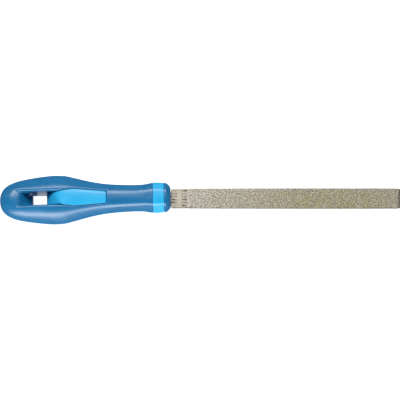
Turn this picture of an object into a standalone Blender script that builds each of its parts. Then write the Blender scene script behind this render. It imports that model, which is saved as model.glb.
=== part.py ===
"""A flat diamond file with a two-colour moulded handle.

Frame: the origin is the middle of the upper coated face, +X runs along the blade to its tip and
+Z points out of that face. Lengths are in metres. Two helper frames are used while building: the
blade frame has x = 0 at the handle's front face and z = 0 in the blade's middle plane, and the
handle frame is the blade frame turned a little in plan, because the handle sits slightly askew on
the tang.
"""

import math

import bmesh
import bpy
from mathutils import Matrix, Vector

MM = 0.001
FIT = 0.3 * MM  # clearance between neighbouring pieces

# Blade
HEEL_LENGTH = 11.3 * MM
COATED_LENGTH = 135.4 * MM
TIP_LENGTH = 1.4 * MM
TIP_CHAMFER = 0.45 * MM
BLANK_THICKNESS = 3.3 * MM
HEEL_WIDTH = 12.35 * MM
COATED_WIDTH_START = 12.5 * MM
COATED_WIDTH_END = 12.7 * MM
COATED_BELLY = 0.25 * MM  # extra width half way along
BELLY_STEPS = 8

# Diamond layer
LAYER = 0.25 * MM
BOND_GAP = 0.05 * MM
COATED_THICKNESS = BLANK_THICKNESS + 2 * (LAYER + BOND_GAP)

# Tang
TANG_LENGTH = 52.0 * MM
TANG_BASE_WIDTH = 9.2 * MM
TANG_END_WIDTH = 4.2 * MM
TANG_END_THICKNESS = 2.3 * MM
TANG_POINT = 2.0 * MM
TANG_POINT_WIDTH_SHARE = 0.55  # how much of its width and thickness the tang keeps at its very end
TANG_POINT_THICKNESS_SHARE = 0.6

# Handle
HANDLE_LENGTH = 110.0 * MM
HANDLE_SKEW = math.radians(1.35)
SKEW_PIVOT_X = -33.0 * MM
GRIP_WALL = 2.6 * MM
SIDES = 48  # facets round the handle

# Distance from the front face, half width, half thickness (all mm), and how crisp the hexagon is.
STATIONS = (
    (0.0, 5.95, 5.3, 4.0),
    (0.7, 7.4, 6.45, 4.5),
    (1.9, 8.8, 7.6, 5.5),
    (3.2, 9.5, 8.2, 7.0),
    (5.5, 9.65, 8.35, 9.0),
    (9.3, 9.95, 8.65, 9.0),
    (13.5, 9.5, 8.3, 9.0),
    (18.0, 8.75, 7.7, 9.0),
    (24.0, 8.65, 7.6, 9.0),
    (33.0, 9.0, 7.75, 9.0),
    (41.0, 9.65, 8.1, 8.5),
    (48.5, 10.85, 8.7, 8.0),
    (56.0, 12.55, 9.4, 7.5),
    (62.5, 14.25, 10.2, 7.0),
    (68.5, 15.6, 10.9, 6.5),
    (74.0, 15.9, 11.3, 6.0),
    (82.0, 15.3, 11.4, 5.5),
    (91.0, 14.05, 10.8, 4.5),
    (98.0, 12.65, 9.8, 4.0),
    (103.5, 10.6, 8.3, 3.5),
    (107.3, 7.85, 6.3, 3.0),
    (109.2, 4.75, 3.7, 2.5),
    (110.0, 1.2, 0.9, 2.0),
)

# Spacing of the sections lofted along the handle
FRONT_ZONE = 4.5 * MM
FRONT_SPACING = 0.9 * MM
LEAST_SPACING = 0.5 * MM
MOST_SPACING = 3.6 * MM
SPACING_SHARE = 0.34  # of the distance left to the butt end

# Light-blue band round the collar
BAND_FRONT = 4.3 * MM
BAND_BACK = 11.3 * MM

# Core, under the grip
CORE_BACK = 72.0 * MM
NOSE_PLUG_START = 2.5 * MM
NOSE_PLUG_DEPTH = 3.0 * MM
NOSE_PLUG_INSET = 3.3 * MM

# Inlay pads, one on each flat: half widths at their front, widest place and back
PAD_FRONT = 41.2 * MM
PAD_WIDEST = 61.5 * MM
PAD_BACK = 71.0 * MM
PAD_FRONT_HALF = 3.95 * MM
PAD_WIDEST_HALF = 5.75 * MM
PAD_BACK_HALF = 4.4 * MM
PAD_CORNER = 1.2 * MM
PAD_SUNK = 0.35 * MM
PAD_LOFT_FRONT = 20.0 * MM
PAD_LOFT_BACK = 90.0 * MM

# Slot through the handle: the scooped recess, the hanging hole and the core's prow
THROAT_HALF = 4.4 * MM
THROAT_LEVEL = 9.3 * MM
WALL_LEAN = 0.7  # how far each wall leans out for each unit above the throat
SLOT_FRONT = 62.0 * MM
PROW_FLUSH = 60.0 * MM
PROW_START = 67.0 * MM
PROW_END = 80.0 * MM
PROW_FULLNESS = 1.6  # 2 is an ellipse in side view, 1 a straight ramp
PROW_STEPS = 10
FUNNEL_START = 89.6 * MM  # behind it the slot's walls close in towards the bottom of the scoop
FUNNEL_HALF_TOP = 5.2 * MM
FUNNEL_HALF_BOTTOM = 1.3 * MM
FUNNEL_BOTTOM = -1.2 * MM
SCOOP_TOP = ((99.5, 10.0), (97.4, 8.5), (94.9, 6.0), (92.0, 2.6), (89.3, -1.2))  # mm
SCOOP_UNDER = ((88.9, -2.4), (88.9, -6.4), (90.8, -8.6), (93.6, -10.8))  # mm
SCOOP_RUN_OUT = 1.5 * MM
BEYOND = 16.0 * MM  # a level clear of the handle's surface

COLOURS = {
    "steel": ((0.42, 0.38, 0.32, 1.0), 0.35, 1.0),
    "diamond": ((0.36, 0.33, 0.26, 1.0), 0.55, 0.6),
    "dark_blue": ((0.015, 0.155, 0.40, 1.0), 0.45, 0.0),
    "light_blue": ((0.05, 0.48, 0.86, 1.0), 0.35, 0.0),
}


def clear_scene():
    for obj in list(bpy.data.objects):
        bpy.data.objects.remove(obj, do_unlink=True)


def material(name):
    """The named Principled material, made once."""
    found = bpy.data.materials.get(name)
    if found:
        return found
    colour, roughness, metallic = COLOURS[name]
    made = bpy.data.materials.new(name)
    made.use_nodes = True
    shader = made.node_tree.nodes["Principled BSDF"]
    shader.inputs["Base Color"].default_value = colour
    shader.inputs["Roughness"].default_value = roughness
    shader.inputs["Metallic"].default_value = metallic
    made.diffuse_color = colour
    return made


def empty(name, parent=None):
    obj = bpy.data.objects.new(name, None)
    bpy.context.scene.collection.objects.link(obj)
    obj.parent = parent
    return obj


def mesh_object(name, bm, parent, colour=None):
    """An object from bm with its faces turned out. Without a colour it is a hidden cutter."""
    bmesh.ops.recalc_face_normals(bm, faces=bm.faces)
    mesh = bpy.data.meshes.new(name)
    bm.to_mesh(mesh)
    bm.free()
    obj = bpy.data.objects.new(name, mesh)
    bpy.context.scene.collection.objects.link(obj)
    obj.parent = parent
    if colour:
        mesh.materials.append(material(colour))
    else:
        obj.hide_render = True
        obj.display_type = "WIRE"
    return obj


def combine(obj, other, operation):
    """Adds an exact Boolean of other to obj and returns obj."""
    step = obj.modifiers.new(f"{operation.lower()}_{other.name}", "BOOLEAN")
    step.operation = operation
    step.solver = "EXACT"
    step.object = other
    return obj


def smooth(obj, angle=math.radians(32)):
    obj.data.shade_smooth()
    obj.data.set_sharp_from_angle(angle=angle)


# Handle surface


def eased(column, s):
    """Column of STATIONS at distance s (mm), by a cubic that never overshoots its stations."""
    xs = [row[0] for row in STATIONS]
    ys = [row[column] for row in STATIONS]
    if column < 3:
        ys = [y * y for y in ys]  # squares fall evenly to zero at a round end
    last = len(xs) - 1
    steps = [xs[i + 1] - xs[i] for i in range(last)]
    slopes = [(ys[i + 1] - ys[i]) / steps[i] for i in range(last)]

    def tangent(i):
        if i in (0, last):
            return slopes[min(i, last - 1)]
        before, after = slopes[i - 1], slopes[i]
        if before * after <= 0:
            return 0.0
        w1 = 2 * steps[i] + steps[i - 1]
        w2 = steps[i] + 2 * steps[i - 1]
        return (w1 + w2) / (w1 / before + w2 / after)

    s = min(max(s, xs[0]), xs[-1])
    i = max(k for k in range(last) if xs[k] <= s)
    h = steps[i]
    t = (s - xs[i]) / h
    value = (
        ys[i] * (1 + 2 * t) * (1 - t) ** 2
        + tangent(i) * h * t * (1 - t) ** 2
        + ys[i + 1] * t * t * (3 - 2 * t)
        - tangent(i + 1) * h * t * t * (1 - t)
    )
    return math.sqrt(max(value, 0.0)) if column < 3 else value


def half_thickness(distance):
    return eased(2, distance / MM) * MM


def hexagon_radius(turn, crispness):
    """Radius of a soft hexagon with corners at the sides and flats at the top and bottom."""
    total = sum(
        abs(math.cos(turn - math.radians(flat))) ** crispness for flat in (90, 30, 150)
    )
    return total ** (-1 / crispness)


def section(distance, inset=0.0):
    """Points of the handle's section at a distance behind its front face, in the handle frame."""
    s = distance / MM
    width = eased(1, s) * MM - inset
    thickness = eased(2, s) * MM - inset
    crispness = eased(3, s)
    side = hexagon_radius(0, crispness)
    top = hexagon_radius(math.pi / 2, crispness)
    points = []
    for i in range(SIDES):
        turn = 2 * math.pi * i / SIDES
        radius = hexagon_radius(turn, crispness)
        y = width * radius * math.cos(turn) / side
        z = thickness * radius * math.sin(turn) / top
        points.append(Vector((-distance, y, z)))
    return points


def loft(sections):
    """A closed mesh through the sections, with a flat cap at each end."""
    bm = bmesh.new()
    rings = [[bm.verts.new(point) for point in points] for points in sections]
    for first, second in zip(rings, rings[1:]):
        for i, vertex in enumerate(first):
            j = (i + 1) % len(first)
            bm.faces.new((vertex, first[j], second[j], second[i]))
    bm.faces.new(rings[0])
    bm.faces.new(rings[-1])
    return bm


def handle_loft(front, back, inset=0.0):
    """The handle's surface between two distances, closer spaced where it curves most."""
    stops = {front, back}
    distance = 0.0
    while distance < HANDLE_LENGTH:
        if front < distance < back:
            stops.add(distance)
        even = min(MOST_SPACING, SPACING_SHARE * (HANDLE_LENGTH - distance))
        distance += FRONT_SPACING if distance < FRONT_ZONE else max(LEAST_SPACING, even)
    return loft([section(stop, inset) for stop in sorted(stops)])


# Flat outlines


def rounded(points, corners, radius, steps=4):
    """The outline with an arc of the radius at each listed corner."""
    made = []
    for i, point in enumerate(points):
        here = Vector(point)
        if i not in corners:
            made.append(here)
            continue
        back = (Vector(points[i - 1]) - here).normalized()
        ahead = (Vector(points[(i + 1) % len(points)]) - here).normalized()
        half = back.angle(ahead) / 2
        reach = radius / math.tan(half)
        centre = here + (back + ahead).normalized() * radius / math.sin(half)
        start = here + back * reach - centre
        end = here + ahead * reach - centre
        for k in range(steps + 1):
            arm = start.lerp(end, k / steps)
            made.append(centre + arm.normalized() * radius)
    return made


def prism(outline, place):
    """A closed mesh between two copies of the outline. place(u, v, end) gives a point."""
    bm = bmesh.new()
    ends = [[bm.verts.new(place(u, v, end)) for u, v in outline] for end in (0, 1)]
    for i in range(len(outline)):
        j = (i + 1) % len(outline)
        bm.faces.new((ends[0][i], ends[0][j], ends[1][j], ends[1][i]))
    bm.faces.new(ends[0])
    bm.faces.new(ends[1])
    return bm


def pad_outline(grow):
    """Plan of an inlay pad, larger by grow all round."""
    half = (
        (-PAD_FRONT + grow, PAD_FRONT_HALF + grow),
        (-PAD_WIDEST, PAD_WIDEST_HALF + grow),
        (-PAD_BACK - grow, PAD_BACK_HALF + grow),
    )
    points = list(half) + [(x, -y) for x, y in reversed(half)]
    return rounded(points, {0, 5}, PAD_CORNER + grow)


def channel_half(level, shrink=0.0):
    """Half width of the slot at a level: upright in the throat and leaning out above it."""
    lean = WALL_LEAN * max(0.0, abs(level) - THROAT_LEVEL)
    return THROAT_HALF + lean - shrink


def cross_prism(name, parent, right, front, back):
    """A symmetric cross section, given as its right half, drawn along the handle."""
    outline = right + [(-y, z) for y, z in reversed(right)]
    bm = prism(outline, lambda y, z, end: Vector((-(front, back)[end], y, z)))
    return mesh_object(name, bm, parent)


def channel(name, parent, front, back, shrink=0.0):
    """The slot's cross section: upright walls with the rims leaning out."""
    levels = (BEYOND, THROAT_LEVEL, -THROAT_LEVEL, -BEYOND)
    right = [(channel_half(z, shrink), z) for z in levels]
    return cross_prism(name, parent, right, front, back)


def funnel(name, parent):
    """The slot's cross section behind the hanging hole, narrow at the bottom of the scoop."""
    right = [
        (channel_half(BEYOND), BEYOND),
        (FUNNEL_HALF_TOP, THROAT_LEVEL),
        (FUNNEL_HALF_BOTTOM, FUNNEL_BOTTOM),
        (THROAT_HALF, FUNNEL_BOTTOM - FIT),
        (THROAT_HALF, -THROAT_LEVEL),
        (channel_half(-BEYOND), -BEYOND),
    ]
    return cross_prism(name, parent, right, FUNNEL_START - FIT, HANDLE_LENGTH)


def side_prism(name, parent, outline, half_width):
    """A side view outline of (x, z) points drawn across the handle."""
    bm = prism(outline, lambda x, z, end: Vector((x, (-half_width, half_width)[end], z)))
    return mesh_object(name, bm, parent)


# Handle pieces


def slot_cutter(parent):
    """Everything the slot takes from the grip: recess, scoop and hanging hole."""
    top = [(-s * MM, z * MM) for s, z in SCOOP_TOP]
    under = [(-s * MM, z * MM) for s, z in SCOOP_UNDER]
    lead_in = (top[0][0] - SCOOP_RUN_OUT, BEYOND)
    run_out = (under[-1][0] - SCOOP_RUN_OUT, -BEYOND)
    outline = [(-SLOT_FRONT, BEYOND), lead_in, *top, *under, run_out, (-SLOT_FRONT, -BEYOND)]
    cutter = side_prism("slot_cutter", parent, outline, BEYOND)
    sides = channel("slot_channel", parent, 0.0, FUNNEL_START)
    combine(sides, funnel("slot_funnel", parent), "UNION")
    return combine(cutter, sides, "INTERSECT")


def pad_cutter(name, parent, grow):
    """Both inlay pads as one upright prism through the handle."""
    levels = (-BEYOND, BEYOND)
    bm = prism(pad_outline(grow), lambda x, y, end: Vector((x, y, levels[end])))
    return mesh_object(name, bm, parent)


def prow(parent):
    """The core's back end: flush with the pads, then rounding down to an edge in the hole."""
    start_level = half_thickness(PROW_START) - PAD_SUNK
    flush = [PROW_FLUSH + (PROW_START - PROW_FLUSH) * k / 4 for k in range(4)]
    upper = [(-s, half_thickness(s) - PAD_SUNK) for s in flush]
    for k in range(PROW_STEPS + 1):
        turn = math.pi / 2 * k / PROW_STEPS
        run = math.sin(turn) ** (2 / PROW_FULLNESS)
        level = max(math.cos(turn), 0.0) ** (2 / PROW_FULLNESS)
        upper.append((-PROW_START - (PROW_END - PROW_START) * run, start_level * level))
    lower = [(x, -z) for x, z in reversed(upper[:-1])]
    body = side_prism("prow", parent, upper + lower, BEYOND)
    channel_part = channel("prow_channel", parent, 0.0, HANDLE_LENGTH, shrink=FIT)
    return combine(body, channel_part, "INTERSECT")


def tang_sections(grow):
    """Corners of the tang at its point, near its point, and where it meets the blade."""
    rows = (
        (
            -TANG_LENGTH,
            TANG_POINT_WIDTH_SHARE * TANG_END_WIDTH / 2,
            TANG_POINT_THICKNESS_SHARE * TANG_END_THICKNESS / 2,
        ),
        (-TANG_LENGTH + TANG_POINT, TANG_END_WIDTH / 2, TANG_END_THICKNESS / 2),
        (FIT, TANG_BASE_WIDTH / 2, BLANK_THICKNESS / 2),
    )
    past_front = 4 * grow  # so that a socket opens cleanly through the handle's front face
    shifts = (-grow, 0.0, past_front)
    return [
        box_corners(x + shift, half_width + grow, half_height + grow)
        for (x, half_width, half_height), shift in zip(rows, shifts)
    ]


def box_corners(x, half_width, half_height):
    signs = ((-1, -1), (1, -1), (1, 1), (-1, 1))
    return [Vector((x, sy * half_width, sz * half_height)) for sy, sz in signs]


def handle_core(parent, socket):
    """Hard light-blue core: tang sleeve, collar band, inlay pads and prow in one moulding."""
    core = mesh_object(
        "handle_core", handle_loft(BAND_FRONT + FIT / 2, CORE_BACK, GRIP_WALL), parent, "light_blue"
    )
    band_loft = handle_loft(BAND_FRONT + FIT / 2, BAND_BACK - FIT / 2)
    combine(core, mesh_object("band", band_loft, parent), "UNION")
    pads = pad_cutter("pads", parent, 0.0)
    pad_top = mesh_object("pad_top", handle_loft(PAD_LOFT_FRONT, PAD_LOFT_BACK, PAD_SUNK), parent)
    combine(core, combine(pads, pad_top, "INTERSECT"), "UNION")
    combine(core, prow(parent), "UNION")
    plug_back = BAND_FRONT + NOSE_PLUG_DEPTH + FIT
    plug_room = handle_loft(NOSE_PLUG_START, plug_back, NOSE_PLUG_INSET - FIT)
    combine(core, mesh_object("nose_plug_room", plug_room, parent), "DIFFERENCE")
    combine(core, socket, "DIFFERENCE")
    return core


def soft_grip(parent):
    """Dark-blue grip moulded round the core, with the hanging hole through it."""
    grip = mesh_object(
        "soft_grip", handle_loft(BAND_BACK + FIT / 2, HANDLE_LENGTH), parent, "dark_blue"
    )
    core_room = handle_loft(BAND_FRONT, CORE_BACK + FIT, GRIP_WALL - FIT)
    combine(grip, mesh_object("core_room", core_room, parent), "DIFFERENCE")
    combine(grip, pad_cutter("pad_room", parent, FIT), "DIFFERENCE")
    combine(grip, slot_cutter(parent), "DIFFERENCE")
    return grip


def nose_ring(parent, socket):
    """Dark-blue front of the handle, keyed into the core and slotted for the tang."""
    nose = mesh_object(
        "nose_ring", handle_loft(0.0, BAND_FRONT - FIT / 2), parent, "dark_blue"
    )
    plug_back = BAND_FRONT + NOSE_PLUG_DEPTH
    plug = handle_loft(NOSE_PLUG_START, plug_back, NOSE_PLUG_INSET)
    combine(nose, mesh_object("nose_plug", plug, parent), "UNION")
    combine(nose, socket, "DIFFERENCE")
    return nose


# Blade pieces


def coated_half_width(x):
    """Half the width over the diamond layer: a slight belly between heel and tip."""
    along = (x - HEEL_LENGTH) / COATED_LENGTH
    even = COATED_WIDTH_START + (COATED_WIDTH_END - COATED_WIDTH_START) * along
    return (even + 4 * COATED_BELLY * along * (1 - along)) / 2


def coated_stops():
    return [HEEL_LENGTH + COATED_LENGTH * k / BELLY_STEPS for k in range(BELLY_STEPS + 1)]


def file_blank(parent):
    """Hardened steel blade and tang in one piece, ground back for the layer and chamfered."""
    half = BLANK_THICKNESS / 2
    cover = LAYER + BOND_GAP
    sections = tang_sections(0.0)
    sections.append(box_corners(FIT, HEEL_WIDTH / 2, half))
    sections.append(box_corners(HEEL_LENGTH - BOND_GAP, HEEL_WIDTH / 2, half))
    for x in coated_stops():
        shift = -BOND_GAP if x == HEEL_LENGTH else 0.0
        sections.append(box_corners(x + shift, coated_half_width(x) - cover, half))
    end = HEEL_LENGTH + COATED_LENGTH + TIP_LENGTH
    end_half = coated_half_width(HEEL_LENGTH + COATED_LENGTH) - cover
    sections.append(box_corners(end - TIP_CHAMFER, end_half, half))
    sections.append(box_corners(end, end_half - TIP_CHAMFER, half - TIP_CHAMFER))
    return mesh_object("file_blank", loft(sections), parent, "steel")


def face_layer(name, parent, side):
    """Diamond layer on the upper (side 1) or lower (side -1) face."""
    inner = side * (BLANK_THICKNESS / 2 + BOND_GAP)
    outer = side * COATED_THICKNESS / 2
    sections = []
    for x in coated_stops():
        half = coated_half_width(x)
        corners = ((-half, inner), (half, inner), (half, outer), (-half, outer))
        sections.append([Vector((x, y, z)) for y, z in corners])
    return mesh_object(name, loft(sections), parent, "diamond")


def edge_layer(name, parent, side):
    """Diamond layer on the front (side -1) or back (side 1) edge, between the face layers."""
    half_height = BLANK_THICKNESS / 2
    sections = []
    for x in coated_stops():
        outer = side * coated_half_width(x)
        inner = outer - side * LAYER
        corners = (
            (inner, -half_height),
            (outer, -half_height),
            (outer, half_height),
            (inner, half_height),
        )
        sections.append([Vector((x, y, z)) for y, z in corners])
    return mesh_object(name, loft(sections), parent, "diamond")


def main():
    clear_scene()
    blade_frame = empty("blade_frame")
    blade_frame.location = (-HEEL_LENGTH - COATED_LENGTH / 2, 0.0, -COATED_THICKNESS / 2)
    handle_frame = empty("handle_frame", blade_frame)
    pivot = Vector((SKEW_PIVOT_X, 0.0, 0.0))
    turn = Matrix.Rotation(HANDLE_SKEW, 3, "Z")
    handle_frame.location = pivot - turn @ pivot
    handle_frame.rotation_euler = (0.0, 0.0, HANDLE_SKEW)

    file_blank(blade_frame)
    face_layer("diamond_face_upper", blade_frame, 1)
    face_layer("diamond_face_lower", blade_frame, -1)
    edge_layer("diamond_edge_front", blade_frame, -1)
    edge_layer("diamond_edge_back", blade_frame, 1)

    socket = mesh_object("tang_room", loft(tang_sections(FIT)), blade_frame)
    for piece in (
        handle_core(handle_frame, socket),
        soft_grip(handle_frame),
        nose_ring(handle_frame, socket),
    ):
        smooth(piece)


main()
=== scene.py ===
"""Looks for the flat diamond file: fine moulded surfaces, grit, ground steel, light and camera.

Named sizes and shape functions are in millimetres, and placed points are in metres in the row frame.
The blade frame has x along the blade from the handle's front face, y across and z up from its middle.
The handle frame has s running back from the same face, and is turned by the handle's slight skew.
"""

import math

import bmesh
import bpy
import numpy as np
from mathutils import Matrix, Vector


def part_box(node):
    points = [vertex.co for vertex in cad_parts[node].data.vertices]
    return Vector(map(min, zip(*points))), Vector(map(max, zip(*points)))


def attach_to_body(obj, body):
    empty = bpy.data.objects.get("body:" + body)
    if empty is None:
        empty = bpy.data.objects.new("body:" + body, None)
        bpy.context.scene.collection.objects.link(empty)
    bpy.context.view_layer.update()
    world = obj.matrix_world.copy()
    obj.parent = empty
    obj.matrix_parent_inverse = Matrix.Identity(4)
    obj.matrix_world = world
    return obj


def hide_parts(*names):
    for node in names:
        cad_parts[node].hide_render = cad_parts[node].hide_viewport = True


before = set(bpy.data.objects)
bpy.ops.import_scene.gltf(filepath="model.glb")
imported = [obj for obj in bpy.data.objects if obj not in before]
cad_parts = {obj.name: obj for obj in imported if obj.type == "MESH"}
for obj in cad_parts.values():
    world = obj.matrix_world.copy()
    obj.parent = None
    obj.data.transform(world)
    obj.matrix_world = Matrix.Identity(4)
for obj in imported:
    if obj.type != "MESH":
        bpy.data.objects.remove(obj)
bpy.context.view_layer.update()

MM = 0.001

# Blade, in the blade frame: x = 0 at the handle's front face
HEEL = 11.3
COATED = 135.4
TIP = 1.4
BLANK_THICKNESS = 3.3
HEEL_WIDTH = 12.35
COATED_WIDTH_START = 12.5
COATED_WIDTH_END = 12.7
COATED_BELLY = 0.25
COATED_THICKNESS = 3.9
LAYER = 0.25
BOND_GAP = 0.05

# Tang, in the blade frame
TANG_LENGTH = 52.0
TANG_BASE_HALF = 4.6
TANG_END_HALF = 2.1
TANG_BASE_DEPTH = 1.65
TANG_END_DEPTH = 1.15

# Grain of the coating
GRIT_STEP = 0.2
GRIT_DEPTH = 0.16
GRIT_JITTER = 0.3
GRIT_SEED = 20
EDGE_ROUND = 0.14
THINNEST = 0.03

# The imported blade's place in the row frame, in metres
LAYER_LOW, LAYER_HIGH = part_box("diamond_face_upper")
BLANK_LOW, BLANK_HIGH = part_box("file_blank")
SHOULDER_X = LAYER_LOW.x - HEEL * MM
MIDDLE_Z = (BLANK_LOW.z + BLANK_HIGH.z) / 2
BOTTOM_LAYER_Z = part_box("diamond_face_lower")[0].z

# Handle, the CAD's surface with the hexagon's corners a little softer along the waist
HANDLE_LENGTH = 110.0
HANDLE_SKEW = math.radians(1.35)
SKEW_PIVOT_X = -33.0
FIT = 0.3
GRIP_WALL = 2.6
STATIONS = np.array(
    [
        # distance behind the front face, half width, half thickness, crispness of the hexagon
        (0.0, 5.95, 5.3, 4.0),
        (0.7, 7.4, 6.45, 4.5),
        (1.9, 8.8, 7.6, 5.5),
        (3.2, 9.5, 8.2, 7.0),
        (5.5, 9.65, 8.35, 9.0),
        (9.3, 9.95, 8.65, 9.0),
        (13.5, 9.5, 8.3, 9.0),
        (18.0, 8.75, 7.7, 8.0),
        (24.0, 8.65, 7.6, 6.5),
        (33.0, 9.0, 7.75, 6.5),
        (41.0, 9.65, 8.1, 6.5),
        (48.5, 10.85, 8.7, 7.0),
        (56.0, 12.55, 9.4, 7.0),
        (62.5, 14.25, 10.2, 7.0),
        (68.5, 15.6, 10.9, 6.5),
        (74.0, 15.9, 11.3, 6.0),
        (82.0, 15.3, 11.4, 5.5),
        (91.0, 14.05, 10.8, 4.5),
        (98.0, 12.65, 9.8, 4.0),
        (103.5, 10.6, 8.3, 3.5),
        (107.3, 7.85, 6.3, 3.0),
        (109.2, 4.75, 3.7, 2.5),
        (110.0, 1.2, 0.9, 2.0),
    ]
)
BAND_FRONT = 4.3
BAND_BACK = 11.3
CORE_BACK = 72.0
NOSE_PLUG_DEPTH = 3.0
NOSE_PLUG_INSET = 3.3

# Where the collar is thickest, and just below its surface there
COLLAR_AT = 9.3
COLLAR_DEPTH = 8.67

# Inlay pads: plan as distance and half width, and the depth and width of the joint round them
PAD_OUTLINE = ((41.2, 3.95), (61.5, 5.75), (71.0, 4.4))
PAD_CORNER = 1.2
PAD_SUNK = 0.35
GROOVE = 0.15

# Seams beside the band, and the core's hidden lip under them
SEAM = 0.03
SEAM_ROUND = 0.14
LIP = 1.3
LIP_FRONT = 1.0
LIP_BACK = 1.2

# Slot through the grip, which narrows to a funnel behind the hanging hole
SLOT_FRONT = 62.0
THROAT_HALF = 4.4
CORNER_FILL = 0.25
FILL_DEPTH = 1.2
RIM_ROLL = 2.3
RUN_OUT_ROLL = 3.6
FUNNEL_FRONT = 89.1
FUNNEL_RUN = 2.6
FUNNEL_LEAN = 0.4
FUNNEL_DEEP = 3.0
FUNNEL_FLARE = 0.2
FUNNEL_LOWEST = -2.0

# Core's tongue, which ends in a prow at the hanging hole
TONGUE_START = 60.0
PROW_START = 67.0
PROW_END = 80.0
PROW_FULLNESS = 1.6
SCOOP = np.array(
    [
        # level, distance of the slot's back wall
        (-13.0, 97.0),
        (-10.8, 93.6),
        (-8.6, 90.8),
        (-6.4, 88.9),
        (-2.4, 88.9),
        (-1.2, 89.3),
        (2.6, 92.0),
        (6.0, 94.9),
        (8.5, 97.4),
        (10.0, 99.5),
        (13.0, 104.5),
    ]
)

# Mesh spacing of the handle pieces, with a closer one beside the seams along s
GRIP_STEP = 0.42
CORE_STEP = 0.42
NOSE_STEP = 0.3
SEAMS = ((BAND_FRONT, BAND_BACK), (), ())
SEAM_ZONE = 0.5
SEAM_STEP = 0.06

# Points in a quarter turn of the blank's corners
ARC_POINTS = 6

# Stage: half the floor's side in metres, glows, and the card below the hole in the handle frame
FLOOR_REACH = 3.0
FLOOR_GLOW = 0.95
CARD_GLOW = 1.08
CARD_LIFT = 0.05
CARD_CORNERS = ((80.6, -0.5), (80.6, 4.0), (86.8, 4.0), (86.8, -0.5))

# Colours, linear
DARK_BLUE = (0.006, 0.150, 0.345, 1.0)
DARK_BLUE_DEEP = (0.005, 0.136, 0.320, 1.0)
# Pale blue for the grip's mottle, and for the painted highlight on its convex edges
DARK_BLUE_MOTTLE_AND_HIGHLIGHT = (0.012, 0.180, 0.385, 1.0)
LIGHT_BLUE = (0.022, 0.428, 0.765, 1.0)
LIGHT_BLUE_DEEP = (0.019, 0.405, 0.740, 1.0)
# Pale blue for the painted highlight on the core's convex edges
LIGHT_BLUE_EDGE_HIGHLIGHT = (0.080, 0.540, 0.850, 1.0)
STEEL = (0.54, 0.48, 0.405, 1.0)
STEEL_DARK = (0.32, 0.28, 0.23, 1.0)
MARK_BROWN = (0.07, 0.055, 0.04, 1.0)
TIP_DARK = (0.11, 0.097, 0.08, 1.0)
GRIT = (0.475, 0.428, 0.376, 1.0)
# Tint of the painted shade that darkens the grit towards the tip of the blade
GRIT_PAINTED_FALLOFF = (0.70, 0.685, 0.655, 1.0)
GRIT_WARMTH = (0.93, 0.935, 0.62, 1.0)
WHITE = (1.0, 1.0, 1.0, 1.0)
GRIT_BRIGHT = (0.74, 0.69, 0.595, 1.0)
GRIT_DARK = (0.10, 0.09, 0.06, 1.0)
STAGE_GREY = (0.46, 0.46, 0.47, 1.0)
STAGE_GREY_PALE = (0.48, 0.48, 0.48, 1.0)
FILL_COLOUR = (0.60, 0.78, 1.0, 1.0)
FILL_STRENGTH = 0.06


# Shape functions, in millimetres. Each gives a distance that is negative inside.


def eased_table(xs, ys, at):
    """Values at the places in at, by a cubic through (xs, ys) that never overshoots them."""
    steps = np.diff(xs)
    slopes = np.diff(ys) / steps
    tangents = np.zeros(len(xs))
    tangents[0], tangents[-1] = slopes[0], slopes[-1]
    for i in range(1, len(xs) - 1):
        if slopes[i - 1] * slopes[i] > 0:
            w1 = 2 * steps[i] + steps[i - 1]
            w2 = steps[i] + 2 * steps[i - 1]
            tangents[i] = (w1 + w2) / (w1 / slopes[i - 1] + w2 / slopes[i])
    at = np.clip(at, xs[0], xs[-1])
    i = np.clip(np.searchsorted(xs, at, side="right") - 1, 0, len(xs) - 2)
    t = (at - xs[i]) / steps[i]
    return (
        ys[i] * (1 + 2 * t) * (1 - t) ** 2
        + tangents[i] * steps[i] * t * (1 - t) ** 2
        + ys[i + 1] * t * t * (3 - 2 * t)
        - tangents[i + 1] * steps[i] * t * t * (1 - t)
    )


FINE_S = np.linspace(0.0, HANDLE_LENGTH, 4401)
FINE_WIDTH = np.sqrt(eased_table(STATIONS[:, 0], STATIONS[:, 1] ** 2, FINE_S))
FINE_DEPTH = np.sqrt(eased_table(STATIONS[:, 0], STATIONS[:, 2] ** 2, FINE_S))
FINE_CRISP = eased_table(STATIONS[:, 0], STATIONS[:, 3], FINE_S)
FINE_WIDTH_SLOPE = np.gradient(FINE_WIDTH, FINE_S)
FINE_DEPTH_SLOPE = np.gradient(FINE_DEPTH, FINE_S)


def larger(a, b, round_by=0.0):
    """The intersection of two shapes, its edge rounded over about round_by."""
    k = np.maximum(round_by, 1e-6)
    blend = np.maximum(k - np.abs(a - b), 0.0) / k
    return np.maximum(a, b) + blend * blend * k / 4


def smaller(a, b, round_by=0.0):
    """The union of two shapes, its inner corner filled over about round_by."""
    return -larger(-a, -b, round_by)


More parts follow.
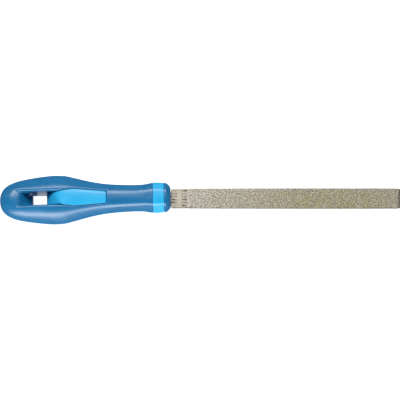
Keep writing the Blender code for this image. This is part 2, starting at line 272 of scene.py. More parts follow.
def outer(s, y, z):
    """Distance to the handle's full outer surface."""
    width = np.interp(s, FINE_S, FINE_WIDTH)
    depth = np.interp(s, FINE_S, FINE_DEPTH)
    crisp = np.interp(s, FINE_S, FINE_CRISP)
    width_slope = np.interp(s, FINE_S, FINE_WIDTH_SLOPE)
    depth_slope = np.interp(s, FINE_S, FINE_DEPTH_SLOPE)
    side = (2 * math.cos(math.radians(30)) ** crisp) ** (-1 / crisp)
    top = (1 + 2 * 0.5**crisp) ** (-1 / crisp)
    u = y * side / width
    w = z * top / depth
    total = np.full_like(u, 1e-12)
    pull_u = np.zeros_like(u)
    pull_w = np.zeros_like(u)
    for flat in (90, 30, 150):
        c, d = math.cos(math.radians(flat)), math.sin(math.radians(flat))
        q = u * c + w * d
        power = np.abs(q) ** (crisp - 1)
        total += power * np.abs(q)
        pull_u += power * np.sign(q) * c
        pull_w += power * np.sign(q) * d
    norm = total ** (1 / crisp)
    scale = norm ** (1 - crisp)
    grad_y = scale * pull_u * side / width
    grad_z = scale * pull_w * top / depth
    grad_s = scale * (pull_u * u * width_slope / width + pull_w * w * depth_slope / depth)
    steep = np.sqrt(grad_y**2 + grad_z**2 + grad_s**2) + 1e-9
    return (norm - 1) / steep


def between(s, front, back, field, round_by):
    """The part of a shape between two distances behind the front face."""
    return larger(larger(field, front - s, round_by), s - back, round_by)


def pad_column(s, y):
    """Distance to an inlay pad's plan: straight sides, rounded front corners."""
    across = np.abs(y)
    sides = None
    for (s1, y1), (s2, y2) in zip(PAD_OUTLINE, PAD_OUTLINE[1:]):
        length = math.hypot(s2 - s1, y2 - y1)
        edge = ((across - y1) * (s2 - s1) - (s - s1) * (y2 - y1)) / length
        sides = edge if sides is None else larger(sides, edge, 0.05)
    return larger(larger(sides, PAD_OUTLINE[0][0] - s, PAD_CORNER), s - PAD_OUTLINE[-1][0])


def funnel_half(s, z):
    """Half width of the slot: upright walls that close in towards the back of the scoop."""
    depth = np.interp(s, FINE_S, FINE_DEPTH) - z
    close = np.clip((s - FUNNEL_FRONT) / FUNNEL_RUN, 0.0, 1.0)
    close = close * close * (3 - 2 * close)
    lean = np.maximum(FUNNEL_LEAN * (depth - FUNNEL_DEEP), -FUNNEL_FLARE) * (z > FUNNEL_LOWEST)
    return THROAT_HALF - close * lean


def scoop_back(s, z):
    """Distance in front of the slot's back wall, which slopes up to the butt."""
    wall = eased_table(SCOOP[:, 0], SCOOP[:, 1], z)
    slope = (eased_table(SCOOP[:, 0], SCOOP[:, 1], z + 0.05) - wall) / 0.05
    return (s - wall) / np.sqrt(1 + slope * slope)


def around_slot(s, y, z, shell, skin):
    """The shell with the slot taken out: rolled rims at its sides and a long run-out at its back."""
    beside = larger(shell, funnel_half(s, z) - np.abs(y), RIM_ROLL)
    roll = np.where(z > 0, RUN_OUT_ROLL, RIM_ROLL)
    behind = larger(shell, -scoop_back(s, z), roll)
    in_front = larger(shell, s - SLOT_FRONT)
    fill = CORNER_FILL * np.clip(-skin / FILL_DEPTH, 0.0, 1.0)
    return np.minimum(smaller(beside, behind, fill), in_front)


def prow(s, z):
    """Top and bottom of the core's back end: flush with the pads, then down to the hole."""
    flush = np.interp(s, FINE_S, FINE_DEPTH) - PAD_SUNK
    run = np.maximum(s - PROW_START, 0.0) / (PROW_END - PROW_START)
    level = np.abs(z) / flush
    power = PROW_FULLNESS
    reach = (run**power + level**power + 1e-9) ** (1 / power)
    grad_s = (run / reach) ** (power - 1) / (PROW_END - PROW_START)
    grad_z = (level / reach) ** (power - 1) / flush
    return (reach - 1) / np.sqrt(grad_s**2 + grad_z**2 + 1e-6)


def tang_room(x, y, z, grow):
    """The tapered tang, grown by a clearance, in the blade frame."""
    along = np.clip(-x / TANG_LENGTH, 0.0, 1.0)
    half = TANG_BASE_HALF + (TANG_END_HALF - TANG_BASE_HALF) * along + grow
    depth = TANG_BASE_DEPTH + (TANG_END_DEPTH - TANG_BASE_DEPTH) * along + grow
    sides = larger(np.abs(y) - half, np.abs(z) - depth)
    return larger(sides, -x - TANG_LENGTH - grow)


def blade_place(s, y):
    """Blade-frame x and y of a handle-frame place."""
    c, d = math.cos(HANDLE_SKEW), math.sin(HANDLE_SKEW)
    x = -s - SKEW_PIVOT_X
    return SKEW_PIVOT_X + c * x - d * y, d * x + c * y


def sleeve(s, skin, grow=0.0):
    """The core's hidden sleeve inside the grip, with a lip under the seam beside the band."""
    body = between(s, BAND_FRONT, CORE_BACK + grow, skin + GRIP_WALL - grow, 0.5)
    lip_skin = skin + LIP - grow
    lip = between(s, BAND_FRONT - LIP_FRONT - grow, BAND_BACK + LIP_BACK + grow, lip_skin, 0.2)
    return np.minimum(body, lip)


def core_field(s, y, z):
    """Distance to the light core: band, inlays, tongue and sleeve, less the plug's and tang's room."""
    skin = outer(s, y, z)
    band = between(s, BAND_FRONT + SEAM, BAND_BACK - SEAM, skin, SEAM_ROUND)
    tongue = between(s, TONGUE_START, PROW_END, np.abs(y) - THROAT_HALF + GROOVE, 0.0)
    plan = smaller(pad_column(s, y), tongue, 0.3)
    inlay = larger(plan, larger(skin + PAD_SUNK, prow(s, z)), 0.8)
    whole = np.minimum(smaller(inlay, band), sleeve(s, skin))
    plug = larger(skin + NOSE_PLUG_INSET - FIT, s - BAND_FRONT - NOSE_PLUG_DEPTH - FIT)
    bx, by = blade_place(s, y)
    return larger(larger(whole, -plug), -tang_room(bx, by, z, FIT))


def grip_field(s, y, z):
    """Distance to the dark grip: the outer shape less the slot, the inlays and the sleeve's room."""
    skin = outer(s, y, z)
    shell = between(s, BAND_BACK + SEAM, HANDLE_LENGTH, skin, SEAM_ROUND)
    shell = around_slot(s, y, z, shell, skin)
    shell = larger(shell, GROOVE - pad_column(s, y), 0.6)
    return larger(shell, -sleeve(s, skin, FIT))


def nose_field(s, y, z):
    """Distance to the nose: its head, the plug in the core, less the lip's and tang's room."""
    skin = outer(s, y, z)
    head = between(s, 0.0, BAND_FRONT - SEAM, skin, SEAM_ROUND)
    lip_room = larger(skin + LIP - FIT, BAND_FRONT - LIP_FRONT - FIT - s)
    head = larger(head, -lip_room)
    plug = between(s, 2.0, BAND_FRONT + NOSE_PLUG_DEPTH, skin + NOSE_PLUG_INSET, 0.4)
    bx, by = blade_place(s, y)
    return larger(np.minimum(head, plug), -tang_room(bx, by, z, FIT), 0.4)


# Meshes from shape functions


def sample(field, axes):
    """Field values on the grid, one slab of s at a time."""
    y, z = np.meshgrid(axes[1], axes[2], indexing="ij")
    return np.stack([field(np.full_like(y, s), y, z) for s in axes[0]])


def net(values):
    """Vertices, in grid units, and quads of the surface where the values change sign."""
    shape = tuple(n - 1 for n in values.shape)
    total = int(np.prod(shape))
    sums, hits = np.zeros((3, total)), np.zeros(total)
    quads = []
    for axis in range(3):
        near = np.moveaxis(values, axis, 0)[:-1]
        far = np.moveaxis(values, axis, 0)[1:]
        found = np.argwhere((near < 0) != (far < 0))
        if not len(found):
            continue
        a, b = near[tuple(found.T)], far[tuple(found.T)]
        others = [k for k in range(3) if k != axis]
        start = np.zeros((len(found), 3), int)
        start[:, axis] = found[:, 0]
        start[:, others] = found[:, 1:]
        crossing = start.astype(float)
        crossing[:, axis] += a / (a - b)
        ring = []
        for du, dv in ((0, 0), (-1, 0), (-1, -1), (0, -1)):
            cell = start.copy()
            cell[:, others[0]] += du
            cell[:, others[1]] += dv
            index = np.ravel_multi_index(tuple(cell.T), shape)
            ring.append(index)
            hits += np.bincount(index, minlength=total)
            for k in range(3):
                sums[k] += np.bincount(index, weights=crossing[:, k], minlength=total)
        ring = np.stack(ring, 1)
        flip = (a < 0) != (axis == 1)
        ring[~flip] = ring[~flip][:, ::-1]
        quads.append(ring)
    used = np.flatnonzero(hits)
    renumber = np.full(total, -1)
    renumber[used] = np.arange(len(used))
    return (sums[:, used] / hits[used]).T, renumber[np.concatenate(quads)]


def settle(field, points, step, rounds=3):
    """Moves points onto the field's surface."""
    probe = 0.02
    for _ in range(rounds):
        s, y, z = points.T
        here = field(s, y, z)
        slope = np.stack(
            [
                field(s + probe, y, z) - here,
                field(s, y + probe, z) - here,
                field(s, y, z + probe) - here,
            ],
            1,
        )
        slope /= probe
        steep = (slope**2).sum(1) + 1e-6
        move = -here[:, None] * slope / steep[:, None]
        far = np.linalg.norm(move, axis=1)
        move *= np.minimum(1.0, 0.5 * step / np.maximum(far, 1e-9))[:, None]
        points = points + move
    return points


def mesh_object(name, points, face_sets, smooth=True):
    """An object from points in metres and arrays of faces, each array of one corner count."""
    starts, corners, first = [], [], 0
    for faces in face_sets:
        faces = np.asarray(faces, np.int32)
        corners.append(faces.ravel())
        starts.append(first + np.arange(len(faces), dtype=np.int32) * faces.shape[1])
        first += faces.size
    mesh = bpy.data.meshes.new(name)
    mesh.vertices.add(len(points))
    mesh.vertices.foreach_set("co", np.asarray(points, np.float32).ravel())
    mesh.loops.add(first)
    mesh.loops.foreach_set("vertex_index", np.concatenate(corners))
    starts = np.concatenate(starts)
    mesh.polygons.add(len(starts))
    mesh.polygons.foreach_set("loop_start", starts)
    mesh.update(calc_edges=True)
    mesh.validate()
    if smooth:
        mesh.shade_smooth()
    obj = bpy.data.objects.new(name, mesh)
    bpy.context.scene.collection.objects.link(obj)
    return obj


def to_world(points):
    """Handle-frame points in millimetres as row-frame points in metres."""
    x, y = blade_place(points[:, 0], points[:, 1])
    return np.stack([x * MM + SHOULDER_X, y * MM, points[:, 2] * MM + MIDDLE_Z], 1)


def grid_lines(low, high, step, seams=()):
    """Grid places from low to high, closer together beside each seam."""
    places = [low - 2 * step]
    while places[-1] < high + 2 * step:
        near = any(abs(places[-1] - seam) < SEAM_ZONE for seam in seams)
        places.append(places[-1] + (SEAM_STEP if near else step))
    return np.array(places)


def moulded(name, node, field, low, high, step):
    """A closed fine mesh of a handle piece, kept inside its CAD node's box."""
    axes = [grid_lines(a, b, step, seams) for a, b, seams in zip(low, high, SEAMS)]
    points, quads = net(sample(field, axes))
    columns = [np.interp(points[:, k], np.arange(len(axes[k])), axes[k]) for k in range(3)]
    points = to_world(settle(field, np.stack(columns, 1), step))
    node_low, node_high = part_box(node)
    points = np.clip(points, np.array(node_low), np.array(node_high))
    return mesh_object(name, points, [quads])


def attach(piece, body, node, look):
    """Makes a piece stand for a CAD node, with its material."""
    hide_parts(node)
    piece.data.materials.append(look)
    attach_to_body(piece, body)


def build_handle(looks):
    """The three mouldings, each sampled in a box with front, back, half width and half thickness."""
    wide, deep = 16.2, 11.8
    low, high = (BAND_BACK, -wide, -deep), (HANDLE_LENGTH, wide, deep)
    grip = moulded("grip_skin", "soft_grip", grip_field, low, high, GRIP_STEP)
    wide = 14.0
    low, high = (BAND_FRONT - LIP_FRONT, -wide, -deep), (PROW_END, wide, deep)
    core = moulded("core_moulding", "handle_core", core_field, low, high, CORE_STEP)
    wide, deep = 10.0, 9.0
    low, high = (0.0, -wide, -deep), (7.6, wide, deep)
    nose = moulded("nose_moulding", "nose_ring", nose_field, low, high, NOSE_STEP)
    attach(grip, "handle", "soft_grip", looks["dark_blue"])
    attach(core, "handle", "handle_core", looks["light_blue"])
    attach(nose, "handle", "nose_ring", looks["dark_blue"])


# Blade, in millimetres in the blade frame


def coated_half(x):
    """Half the coated blade's width: nearly straight, with a slight belly."""
    along = (x - HEEL) / COATED
    even = COATED_WIDTH_START + (COATED_WIDTH_END - COATED_WIDTH_START) * along
    return (even + 4 * COATED_BELLY * along * (1 - along)) / 2


def from_blade(points):
    """Blade-frame points in millimetres as row-frame points in metres."""
    return np.asarray(points) * MM + np.array([SHOULDER_X, 0.0, MIDDLE_Z])


def rounded_ring(half_y, half_z, radius):
    """Points round a rectangle with rounded corners, closely spaced beside each corner."""
    arc = np.radians(np.linspace(0, 90, ARC_POINTS))
    beside = 0.15
    corner_y = half_y - radius + radius * np.sin(arc)
    corner_z = half_z - radius + radius * np.cos(arc)
    y = np.concatenate([[0.5 * half_y, half_y - radius - beside], corner_y, [half_y, half_y]])
    z = np.concatenate([[half_z, half_z], corner_z, [half_z - radius - beside, 0.3 * half_z]])
    right = np.stack([y, z], 1)
    lower = right[::-1] * (1, -1)
    left = right * (-1, -1)
    upper = right[::-1] * (-1, 1)
    return np.concatenate([right, lower, left, upper])


def build_blank(look):
    """Steel blade and tang: ground heel with softened arrises, chamfered tip."""
    half = BLANK_THICKNESS / 2
    heel_half = HEEL_WIDTH / 2
    cover = LAYER + BOND_GAP
    # Place along the blade, half width, half thickness, corner radius
    rows = [
        (-TANG_LENGTH, 0.55 * TANG_END_HALF, 0.6 * TANG_END_DEPTH, 0.2),
        (-TANG_LENGTH + 2.0, TANG_END_HALF, TANG_END_DEPTH, 0.3),
        (-1.2, TANG_BASE_HALF - 0.08, TANG_BASE_DEPTH, 0.3),
        (FIT - 0.02, TANG_BASE_HALF, TANG_BASE_DEPTH, 0.3),
        (FIT, heel_half - 0.3, half - 0.05, 0.3),
        (FIT + 0.09, heel_half - 0.09, half, 0.28),
        (FIT + 0.3, heel_half, half, 0.25),
        (HEEL - 0.3, heel_half, half, 0.25),
        (HEEL - 0.05, coated_half(HEEL) - cover, half, 0.2),
    ]
    end = HEEL + COATED
    rows += [(x, coated_half(x) - cover, half, 0.2) for x in np.linspace(HEEL, end, 60)]
    tip_half = coated_half(end) - cover
    for back, inset in ((0.5, 0.0), (0.38, 0.03), (0.1, 0.28), (0.02, 0.4), (0.0, 0.45)):
        rows.append((end + TIP - back, tip_half - inset, half - inset, 0.2))
    rings = [rounded_ring(y, z, radius) for _, y, z, radius in rows]
    count = len(rings[0])
    placed = [np.column_stack([np.full(count, row[0]), ring]) for row, ring in zip(rows, rings)]
    first = np.arange(count)
    following = (first + 1) % count
    quads = []
    for i in range(len(rows) - 1):
        a, b = i * count, (i + 1) * count
        quads.append(np.stack([first + a, following + a, following + b, first + b], 1))
    quads = np.concatenate(quads)
    last = (len(rows) - 1) * count
    caps = np.stack([first[::-1], first + last])
    blank = mesh_object("blank_steel", from_blade(np.concatenate(placed)), [quads, caps])
    face_outwards(blank)
    blank.data.set_sharp_from_angle(angle=math.radians(38))
    attach(blank, "blade", "file_blank", look)


def face_outwards(obj):
    """Turns every face of a closed mesh outwards."""
    mesh = bmesh.new()
    mesh.from_mesh(obj.data)
    bmesh.ops.recalc_face_normals(mesh, faces=mesh.faces)
    mesh.to_mesh(obj.data)
    mesh.free()


def soften(values, rounds):
    """Averages each value with its neighbours along both directions."""
    for _ in range(rounds):
        for axis in (0, 1):
            values = (np.roll(values, 1, axis) + 2 * values + np.roll(values, -1, axis)) / 4
    return values


def spread(values):
    """The values stretched to run from 0 to 1."""
    return (values - values.min()) / (values.max() - values.min())


def grit_depths(shape, random):
    """How far each point of a layer lies below its tallest grains, in millimetres."""
    grains = random.random(shape)
    clusters = spread(soften(random.random(shape), 1))
    clumps = spread(soften(random.random(shape), 3))
    return GRIT_DEPTH * (0.40 * grains**1.5 + 0.35 * clusters + 0.25 * clumps)


def build_layer(name, node, place, half_across, random, look):
    """A closed layer with a grainy outer face. place(x, v, depth) gives points, with v from -1 to 1."""
    rows = int(round(COATED / GRIT_STEP)) + 1
    columns = max(int(round(2 * half_across / GRIT_STEP)), 6) + 1
    x = np.linspace(HEEL, HEEL + COATED, rows)
    v = np.linspace(-1.0, 1.0, columns)
    jitter = random.uniform(-GRIT_JITTER, GRIT_JITTER, (2, rows, columns)) * GRIT_STEP
    jitter[:, [0, -1]] = 0.0
    jitter[:, :, [0, -1]] = 0.0
    grid_x = x[:, None] + jitter[0]
    grid_v = v[None, :] + jitter[1] / half_across
    depth = grit_depths((rows, columns), random)
    from_side = (1 - np.abs(grid_v)) * half_across
    from_end = np.minimum(grid_x - HEEL, HEEL + COATED - grid_x)
    near = np.clip(1 - np.minimum(from_side, from_end) / EDGE_ROUND, 0.0, 1.0)
    rounding = EDGE_ROUND * (1 - np.sqrt(1 - near**2 * 0.96))
    depth = np.minimum(depth + rounding, LAYER - THINNEST)
    outer_points = place(grid_x, grid_v, depth).reshape(-1, 3)
    end_points = [place(np.full(columns, e), v, np.full(columns, LAYER)) for e in (x[0], x[-1])]
    middle_x = np.repeat(x[1:-1], 2)
    middle_v = np.tile([-1.0, 1.0], rows - 2)
    middle = place(middle_x, middle_v, np.full(len(middle_x), LAYER))
    points = np.concatenate([outer_points, *end_points, middle])
    grid = np.arange(rows * columns).reshape(rows, columns)
    start = rows * columns + np.arange(columns)
    finish = start + columns
    pairs = (rows * columns + 2 * columns + np.arange(2 * (rows - 2))).reshape(-1, 2)
    left = np.concatenate([[start[0]], pairs[:, 0], [finish[0]]])
    right = np.concatenate([[start[-1]], pairs[:, 1], [finish[-1]]])
    quads = [
        np.stack([grid[:-1, :-1], grid[1:, :-1], grid[1:, 1:], grid[:-1, 1:]], -1).reshape(-1, 4),
        np.stack([grid[:-1, 0], grid[1:, 0], left[1:], left[:-1]], 1),
        np.stack([grid[:-1, -1], grid[1:, -1], right[1:], right[:-1]], 1),
        np.stack([grid[0, :-1], grid[0, 1:], start[1:], start[:-1]], 1),
        np.stack([grid[-1, :-1], grid[-1, 1:], finish[1:], finish[:-1]], 1),
        np.stack([pairs[:-1, 0], pairs[:-1, 1], pairs[1:, 1], pairs[1:, 0]], 1),
    ]
    fans = []
    for row, pair in ((start, pairs[0]), (finish, pairs[-1])):
        fans.append(np.stack([np.full(columns - 1, pair[0]), row[:-1], row[1:]], 1))
        fans.append(np.array([[pair[0], row[-1], pair[1]]]))
    faces = [np.concatenate(quads), np.concatenate(fans)]
    layer = mesh_object(name, from_blade(points), faces, smooth=False)
    face_outwards(layer)
    attach(layer, "blade", node, look)


def face_place(side):
    """Places on the upper (1) or lower (-1) face of the blade."""

    def place(x, v, depth):
        return np.stack([x, v * coated_half(x), side * (COATED_THICKNESS / 2 - depth)], -1)

    return place


def edge_place(side):
    """Places on the back (1) or front (-1) edge of the blade."""

    def place(x, v, depth):
        return np.stack([x, side * (coated_half(x) - depth), v * BLANK_THICKNESS / 2], -1)

    return place


def build_layers(look, edge_look):
    """The coating of both faces and both edges."""
    random = np.random.default_rng(GRIT_SEED)
    half = COATED_WIDTH_END / 2
    build_layer("grit_face_upper", "diamond_face_upper", face_place(1), half, random, look)
    build_layer("grit_face_lower", "diamond_face_lower", face_place(-1), half, random, look)
    edge = BLANK_THICKNESS / 2
    build_layer("grit_edge_front", "diamond_edge_front", edge_place(-1), edge, random, edge_look)
    build_layer("grit_edge_back", "diamond_edge_back", edge_place(1), edge, random, edge_look)


# Materials. Object coordinates are metres in the row frame.


class Look:
    """A Principled material and short calls that add nodes to it."""

    def __init__(self, name):
        self.material = bpy.data.materials.new(name)
        self.material.use_nodes = True
        self.tree = self.material.node_tree
        self.shader = self.tree.nodes["Principled BSDF"]
        self.place = self.tree.nodes.new("ShaderNodeTexCoord").outputs["Object"]

    def node(self, kind, inputs=None, **settings):
        made = self.tree.nodes.new(kind)
        for key, value in settings.items():
            setattr(made, key, value)
        for key, value in (inputs or {}).items():
            self.put(made.inputs[key], value)
        return made

    def put(self, socket, value):
        """Links a node's output to a socket, or sets the socket to a plain value."""
        if isinstance(value, bpy.types.NodeSocket):
            self.tree.links.new(value, socket)
        else:
            socket.default_value = value

    def scaled(self, x, y, z):
        """The object's own coordinates, multiplied."""
        return self.node("ShaderNodeMapping", {"Vector": self.place, "Scale": (x, y, z)}).outputs[0]

    def noise(self, size, detail=2.0, stretch=(1, 1, 1), roughness=0.5):
        """Noise whose features are about size metres across, longer where stretch is over 1."""
        vector = self.scaled(*(1 / (size * k) for k in stretch))
        inputs = {"Vector": vector, "Scale": 1.0, "Detail": detail, "Roughness": roughness}
        return self.node("ShaderNodeTexNoise", inputs).outputs["Fac"]

    def cells(self, size):
        """A random colour for each cell about size metres across."""
        inputs = {"Vector": self.scaled(1 / size, 1 / size, 1 / size), "Scale": 1.0}
        return self.node("ShaderNodeTexVoronoi", inputs).outputs["Color"]

    def remap(self, value, from_low, from_high, to_low, to_high):
        """The value carried from one range to another, held at its ends."""
        inputs = {0: value, 1: from_low, 2: from_high, 3: to_low, 4: to_high}
        return self.node("ShaderNodeMapRange", inputs, clamp=True).outputs[0]

    def math(self, operation, a, b):
        return self.node("ShaderNodeMath", {0: a, 1: b}, operation=operation).outputs[0]

    def mix(self, share, a, b, blend="MIX"):
        made = self.node("ShaderNodeMix", {0: share, 6: a, 7: b}, data_type="RGBA", blend_type=blend)
        return made.outputs[2]

    def axis(self, name):
        """One of the object's own coordinates, in metres."""
        return self.node("ShaderNodeSeparateXYZ", {0: self.place}).outputs[name]

    def bump(self, height, strength, distance, normal=None):
        inputs = {"Height": height, "Strength": strength, "Distance": distance}
        if normal is not None:
            inputs["Normal"] = normal
        return self.node("ShaderNodeBump", inputs).outputs[0]

    def edges(self, low, high):
        """0 on flat and hollow places and 1 on the most convex edges."""
        pointed = self.node("ShaderNodeNewGeometry").outputs["Pointiness"]
        return self.remap(pointed, low, high, 0.0, 1.0)


def dark_blue_look():
    """Satin soft-touch moulding: spark-eroded texture, cloudy sheen, and a painted highlight that
    lightens the convex edges.
    """
    look = Look("dark_blue_soft_touch")
    clouds = look.noise(14 * MM, 3.0)
    mottle = look.noise(1.6 * MM, 2.0)
    grain = look.noise(0.28 * MM, 2.0)
    colour = look.mix(look.remap(clouds, 0.35, 0.65, 0.0, 1.0), DARK_BLUE_DEEP, DARK_BLUE)
    colour = look.mix(look.remap(mottle, 0.35, 0.7, 0.0, 0.35), colour, DARK_BLUE_MOTTLE_AND_HIGHLIGHT)
    # Painted highlight: the convex edges are lightened towards the pale blue.
    colour = look.mix(look.math("MULTIPLY", look.edges(0.51, 0.56), 0.4), colour, DARK_BLUE_MOTTLE_AND_HIGHLIGHT)
    look.put(look.shader.inputs["Base Color"], colour)
    rough = look.remap(look.math("ADD", clouds, mottle), 0.7, 1.3, 0.30, 0.38)
    look.put(look.shader.inputs["Roughness"], rough)
    look.put(look.shader.inputs["Specular IOR Level"], 0.7)
    soft = look.bump(mottle, 0.25, 0.10 * MM)
    look.put(look.shader.inputs["Normal"], look.bump(grain, 0.35, 0.03 * MM, soft))
    return look.material


def light_blue_look():
    """Smooth hard moulding with faint flow marks, a light satin grain, and a painted highlight that
    lightens the convex edges.
    """
    look = Look("light_blue_moulding")
    flow = look.noise(7 * MM, 2.0, stretch=(3, 1, 1))
    grain = look.noise(0.35 * MM, 2.0)
    colour = look.mix(look.remap(flow, 0.35, 0.65, 0.0, 1.0), LIGHT_BLUE_DEEP, LIGHT_BLUE)
    # Painted highlight: the convex edges are lightened towards the pale blue.
    colour = look.mix(look.math("MULTIPLY", look.edges(0.51, 0.56), 0.45), colour, LIGHT_BLUE_EDGE_HIGHLIGHT)
    look.put(look.shader.inputs["Base Color"], colour)
    look.put(look.shader.inputs["Roughness"], look.remap(flow, 0.3, 0.7, 0.30, 0.40))
    look.put(look.shader.inputs["Normal"], look.bump(grain, 0.25, 0.02 * MM))
    return look.material


def steel_look():
    """Ground hardened steel: fine scratches along the blade, dull marks on the heel, dark tip."""
    look = Look("ground_steel")
    scratches = look.noise(0.12 * MM, 3.0, stretch=(30, 1, 1))
    patches = look.noise(2.2 * MM, 3.0)
    fine = look.math("MULTIPLY", scratches, 0.6)
    tone = look.math("ADD", fine, look.math("MULTIPLY", patches, 0.4))
    colour = look.mix(look.remap(tone, 0.35, 0.65, 0.0, 1.0), STEEL_DARK, STEEL)
    x = look.axis("X")
    y = look.axis("Y")
    colour = look.mix(heel_marks(look, x, y), colour, MARK_BROWN)
    past_coating = look.remap(x, LAYER_HIGH.x - 0.1 * MM, LAYER_HIGH.x, 0.0, 0.9)
    colour = look.mix(past_coating, colour, TIP_DARK)
    look.put(look.shader.inputs["Base Color"], colour)
    look.put(look.shader.inputs["Metallic"], 0.85)
    look.put(look.shader.inputs["Roughness"], look.remap(tone, 0.3, 0.7, 0.38, 0.54))
    look.put(look.shader.inputs["Normal"], look.bump(scratches, 0.3, 0.01 * MM))
    return look.material


def heel_marks(look, x, y):
    """1 on plain rows of small etched dashes at both ends of the bare heel."""
    row_gap = 1.9 * MM
    rows = look.math("PINGPONG", look.math("ADD", y, 10 * row_gap), row_gap / 2)
    on_row = look.remap(rows, 0.22 * row_gap, 0.30 * row_gap, 0.0, 1.0)
    breaks = look.remap(look.noise(0.9 * MM, 2.0, stretch=(2.0, 0.9, 1)), 0.44, 0.54, 0.1, 1.0)
    middle = LAYER_LOW.x - HEEL / 2 * MM
    from_middle = look.math("ABSOLUTE", look.math("SUBTRACT", x, middle), 0.0)
    at_ends = look.remap(from_middle, 1.5 * MM, 1.9 * MM, 0.0, 1.0)
    in_width = look.remap(look.math("ABSOLUTE", y, 0.0), 5.1 * MM, 5.4 * MM, 1.0, 0.0)
    in_heel = look.remap(x, LAYER_LOW.x - 0.8 * MM, LAYER_LOW.x - 0.6 * MM, 1.0, 0.0)
    marks = look.math("MULTIPLY", on_row, breaks)
    for limit in (at_ends, in_width, in_heel):
        marks = look.math("MULTIPLY", marks, limit)
    return marks


def diamond_look(name, shade=0.0):
    """Nickel-bonded diamond grit: grey grains over a duller bond, with warm worn patches, and painted
    shade that darkens it towards the tip.

    shade darkens it, as on the edges, where the grains catch less light.
    """
    look = Look(name)
    grains = look.cells(0.55 * MM)
    grain = look.node("ShaderNodeSeparateColor", {0: grains}).outputs[0]
    clumps = look.noise(0.8 * MM, 3.0, roughness=0.7)
    patches = look.noise(5.5 * MM, 2.0)
    x = look.axis("X")
    # The ramp along the blade carries both the painted shade, darker towards the tip, and the growth of
    # the worn patches.
    falloff_and_wear_ramp = look.remap(x, LAYER_LOW.x, LAYER_LOW.x + 75 * MM, 0.0, 0.85)
    to_tip = look.remap(x, LAYER_HIGH.x - 12 * MM, LAYER_HIGH.x, 0.0, 0.8)
    to_back = look.remap(look.axis("Y"), 3.2 * MM, 6.0 * MM, 0.0, 0.7)
    worn = look.math("MULTIPLY", falloff_and_wear_ramp, look.remap(patches, 0.38, 0.60, 0.4, 1.0))
    worn = look.math("MULTIPLY", worn, look.math("SUBTRACT", 1.0, to_tip))
    worn = look.math("MULTIPLY", worn, look.math("SUBTRACT", 1.0, to_back))
    colour = look.mix(look.remap(grain, 0.1, 0.9, 0.0, 0.75), GRIT, GRIT_BRIGHT)
    colour = look.mix(look.remap(clumps, 0.38, 0.58, 0.95, 0.0), colour, GRIT_DARK)
    # Painted shade: the grit darkens along the blade towards the tip, as the light falls off.
    colour = look.mix(1.0, colour, look.mix(falloff_and_wear_ramp, WHITE, GRIT_PAINTED_FALLOFF), "MULTIPLY")
    colour = look.mix(1.0, colour, look.mix(worn, WHITE, GRIT_WARMTH), "MULTIPLY")
    at_start = look.remap(x, LAYER_LOW.x + 0.3 * MM, LAYER_LOW.x + 0.7 * MM, 0.5, 0.0)
    colour = look.mix(at_start, colour, GRIT_BRIGHT)
    if shade:
        colour = look.mix(look.remap(clumps, 0.3, 0.7, shade + 0.1, shade - 0.1), colour, GRIT_DARK)
    look.put(look.shader.inputs["Base Color"], colour)
    look.put(look.shader.inputs["Metallic"], 0.35)
    look.put(look.shader.inputs["Roughness"], look.remap(grain, 0.0, 1.0, 0.32, 0.6))
    look.put(look.shader.inputs["Normal"], look.bump(look.noise(0.12 * MM, 2.0), 0.5, 0.04 * MM))
    return look.material


# Studio


def pale_look(name, glow):
    """A matt pale surface lit from within, as an opal table is."""
    look = Look(name)
    shade = look.remap(look.noise(0.5, 2.0), 0.3, 0.7, 0.0, 1.0)
    colour = look.mix(shade, STAGE_GREY, STAGE_GREY_PALE)
    look.put(look.shader.inputs["Base Color"], colour)
    look.put(look.shader.inputs["Roughness"], 0.9)
    look.put(look.shader.inputs["Specular IOR Level"], 0.2)
    look.put(look.shader.inputs["Emission Color"], WHITE)
    look.put(look.shader.inputs["Emission Strength"], glow)
    return look.material


def build_floor():
    """A pale plane under the collar and the tip, which the file lies on, and a card below the hole."""
    collar = Vector((SHOULDER_X - COLLAR_AT * MM, 0.0, MIDDLE_Z - COLLAR_DEPTH * MM))
    tip = Vector((BLANK_HIGH.x, 0.0, BOTTOM_LAYER_Z))
    tilt = math.atan2(tip.z - collar.z, tip.x - collar.x)
    turn = Matrix.Rotation(-tilt, 3, "Y")
    reach = FLOOR_REACH
    plan = ((-reach, -reach), (reach, -reach), (reach, reach), (-reach, reach))
    corners = [collar + turn @ Vector((x, y, 0.0)) for x, y in plan]
    floor = mesh_object("floor", corners, [[(0, 1, 2, 3)]], smooth=False)
    floor.data.materials.append(pale_look("pale_floor", FLOOR_GLOW))
    floor.visible_glossy = False
    corners = to_world(np.array([(s, y, 0.0) for s, y in CARD_CORNERS]))
    corners[:, 2] = collar.z + CARD_LIFT * MM + (corners[:, 0] - collar.x) * math.tan(tilt)
    card = mesh_object("hole_card", corners, [[(0, 1, 2, 3)]], smooth=False)
    card.data.materials.append(pale_look("hole_card", CARD_GLOW))
    card.visible_diffuse = False


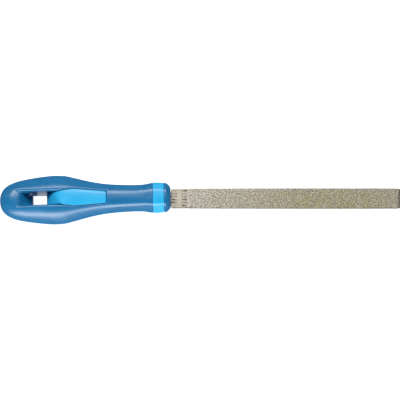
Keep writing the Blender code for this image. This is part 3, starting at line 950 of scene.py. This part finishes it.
def softbox(name, target, azimuth, elevation, distance, size, size_y, power):
    """A rectangular light aimed at the target, long side along X, azimuth from +X towards +Y."""
    a, e = math.radians(azimuth), math.radians(elevation)
    away = Vector((math.cos(a) * math.cos(e), math.sin(a) * math.cos(e), math.sin(e)))
    light = bpy.data.lights.new(name, "AREA")
    light.shape = "RECTANGLE"
    light.size = size
    light.size_y = size_y
    light.energy = power
    obj = bpy.data.objects.new(name, light)
    along = Vector((1, 0, 0)) - away * away.x
    along.normalize()
    turn = Matrix((along, away.cross(along), away)).transposed().to_4x4()
    obj.matrix_world = Matrix.Translation(target + away * distance) @ turn
    bpy.context.scene.collection.objects.link(obj)


def build_light():
    """A high softbox behind the file and a low one in front, with a faint cool fill all round."""
    target = Vector((SHOULDER_X - 40 * MM, 0.0, 0.0))
    back = {"azimuth": 92.0, "elevation": 56.0, "distance": 1.1}
    front = {"azimuth": -98.0, "elevation": 16.0, "distance": 1.2}
    softbox("back_softbox", target, size=1.6, size_y=0.38, power=16.6, **back)
    softbox("front_softbox", target, size=1.3, size_y=0.40, power=18.0, **front)
    world = bpy.data.worlds.new("pale_studio")
    bpy.context.scene.world = world
    world.use_nodes = True
    background = world.node_tree.nodes["Background"]
    background.inputs["Color"].default_value = FILL_COLOUR
    background.inputs["Strength"].default_value = FILL_STRENGTH


def build_camera():
    """Looks down from the near side, as an item laid on a table is photographed."""
    target = Vector((SHOULDER_X + 18.9 * MM, -0.95 * MM, MIDDLE_Z))
    elevation = math.radians(80.0)
    distance = 1.289
    away = Vector((0.0, -math.cos(elevation), math.sin(elevation)))
    data = bpy.data.cameras.new("camera")
    data.lens = 180.0
    data.sensor_width = 36.0
    data.clip_start = 0.05
    data.clip_end = 20.0
    camera = bpy.data.objects.new("camera", data)
    camera.location = target + away * distance
    camera.rotation_euler = (-away).to_track_quat("-Z", "Y").to_euler()
    bpy.context.scene.collection.objects.link(camera)
    bpy.context.scene.camera = camera


def main():
    looks = {"dark_blue": dark_blue_look(), "light_blue": light_blue_look()}
    build_handle(looks)
    build_blank(steel_look())
    build_layers(diamond_look("diamond_grit"), diamond_look("diamond_grit_edge", 0.55))
    build_floor()
    build_light()
    build_camera()
    bpy.context.scene.view_settings.view_transform = "Standard"


main()
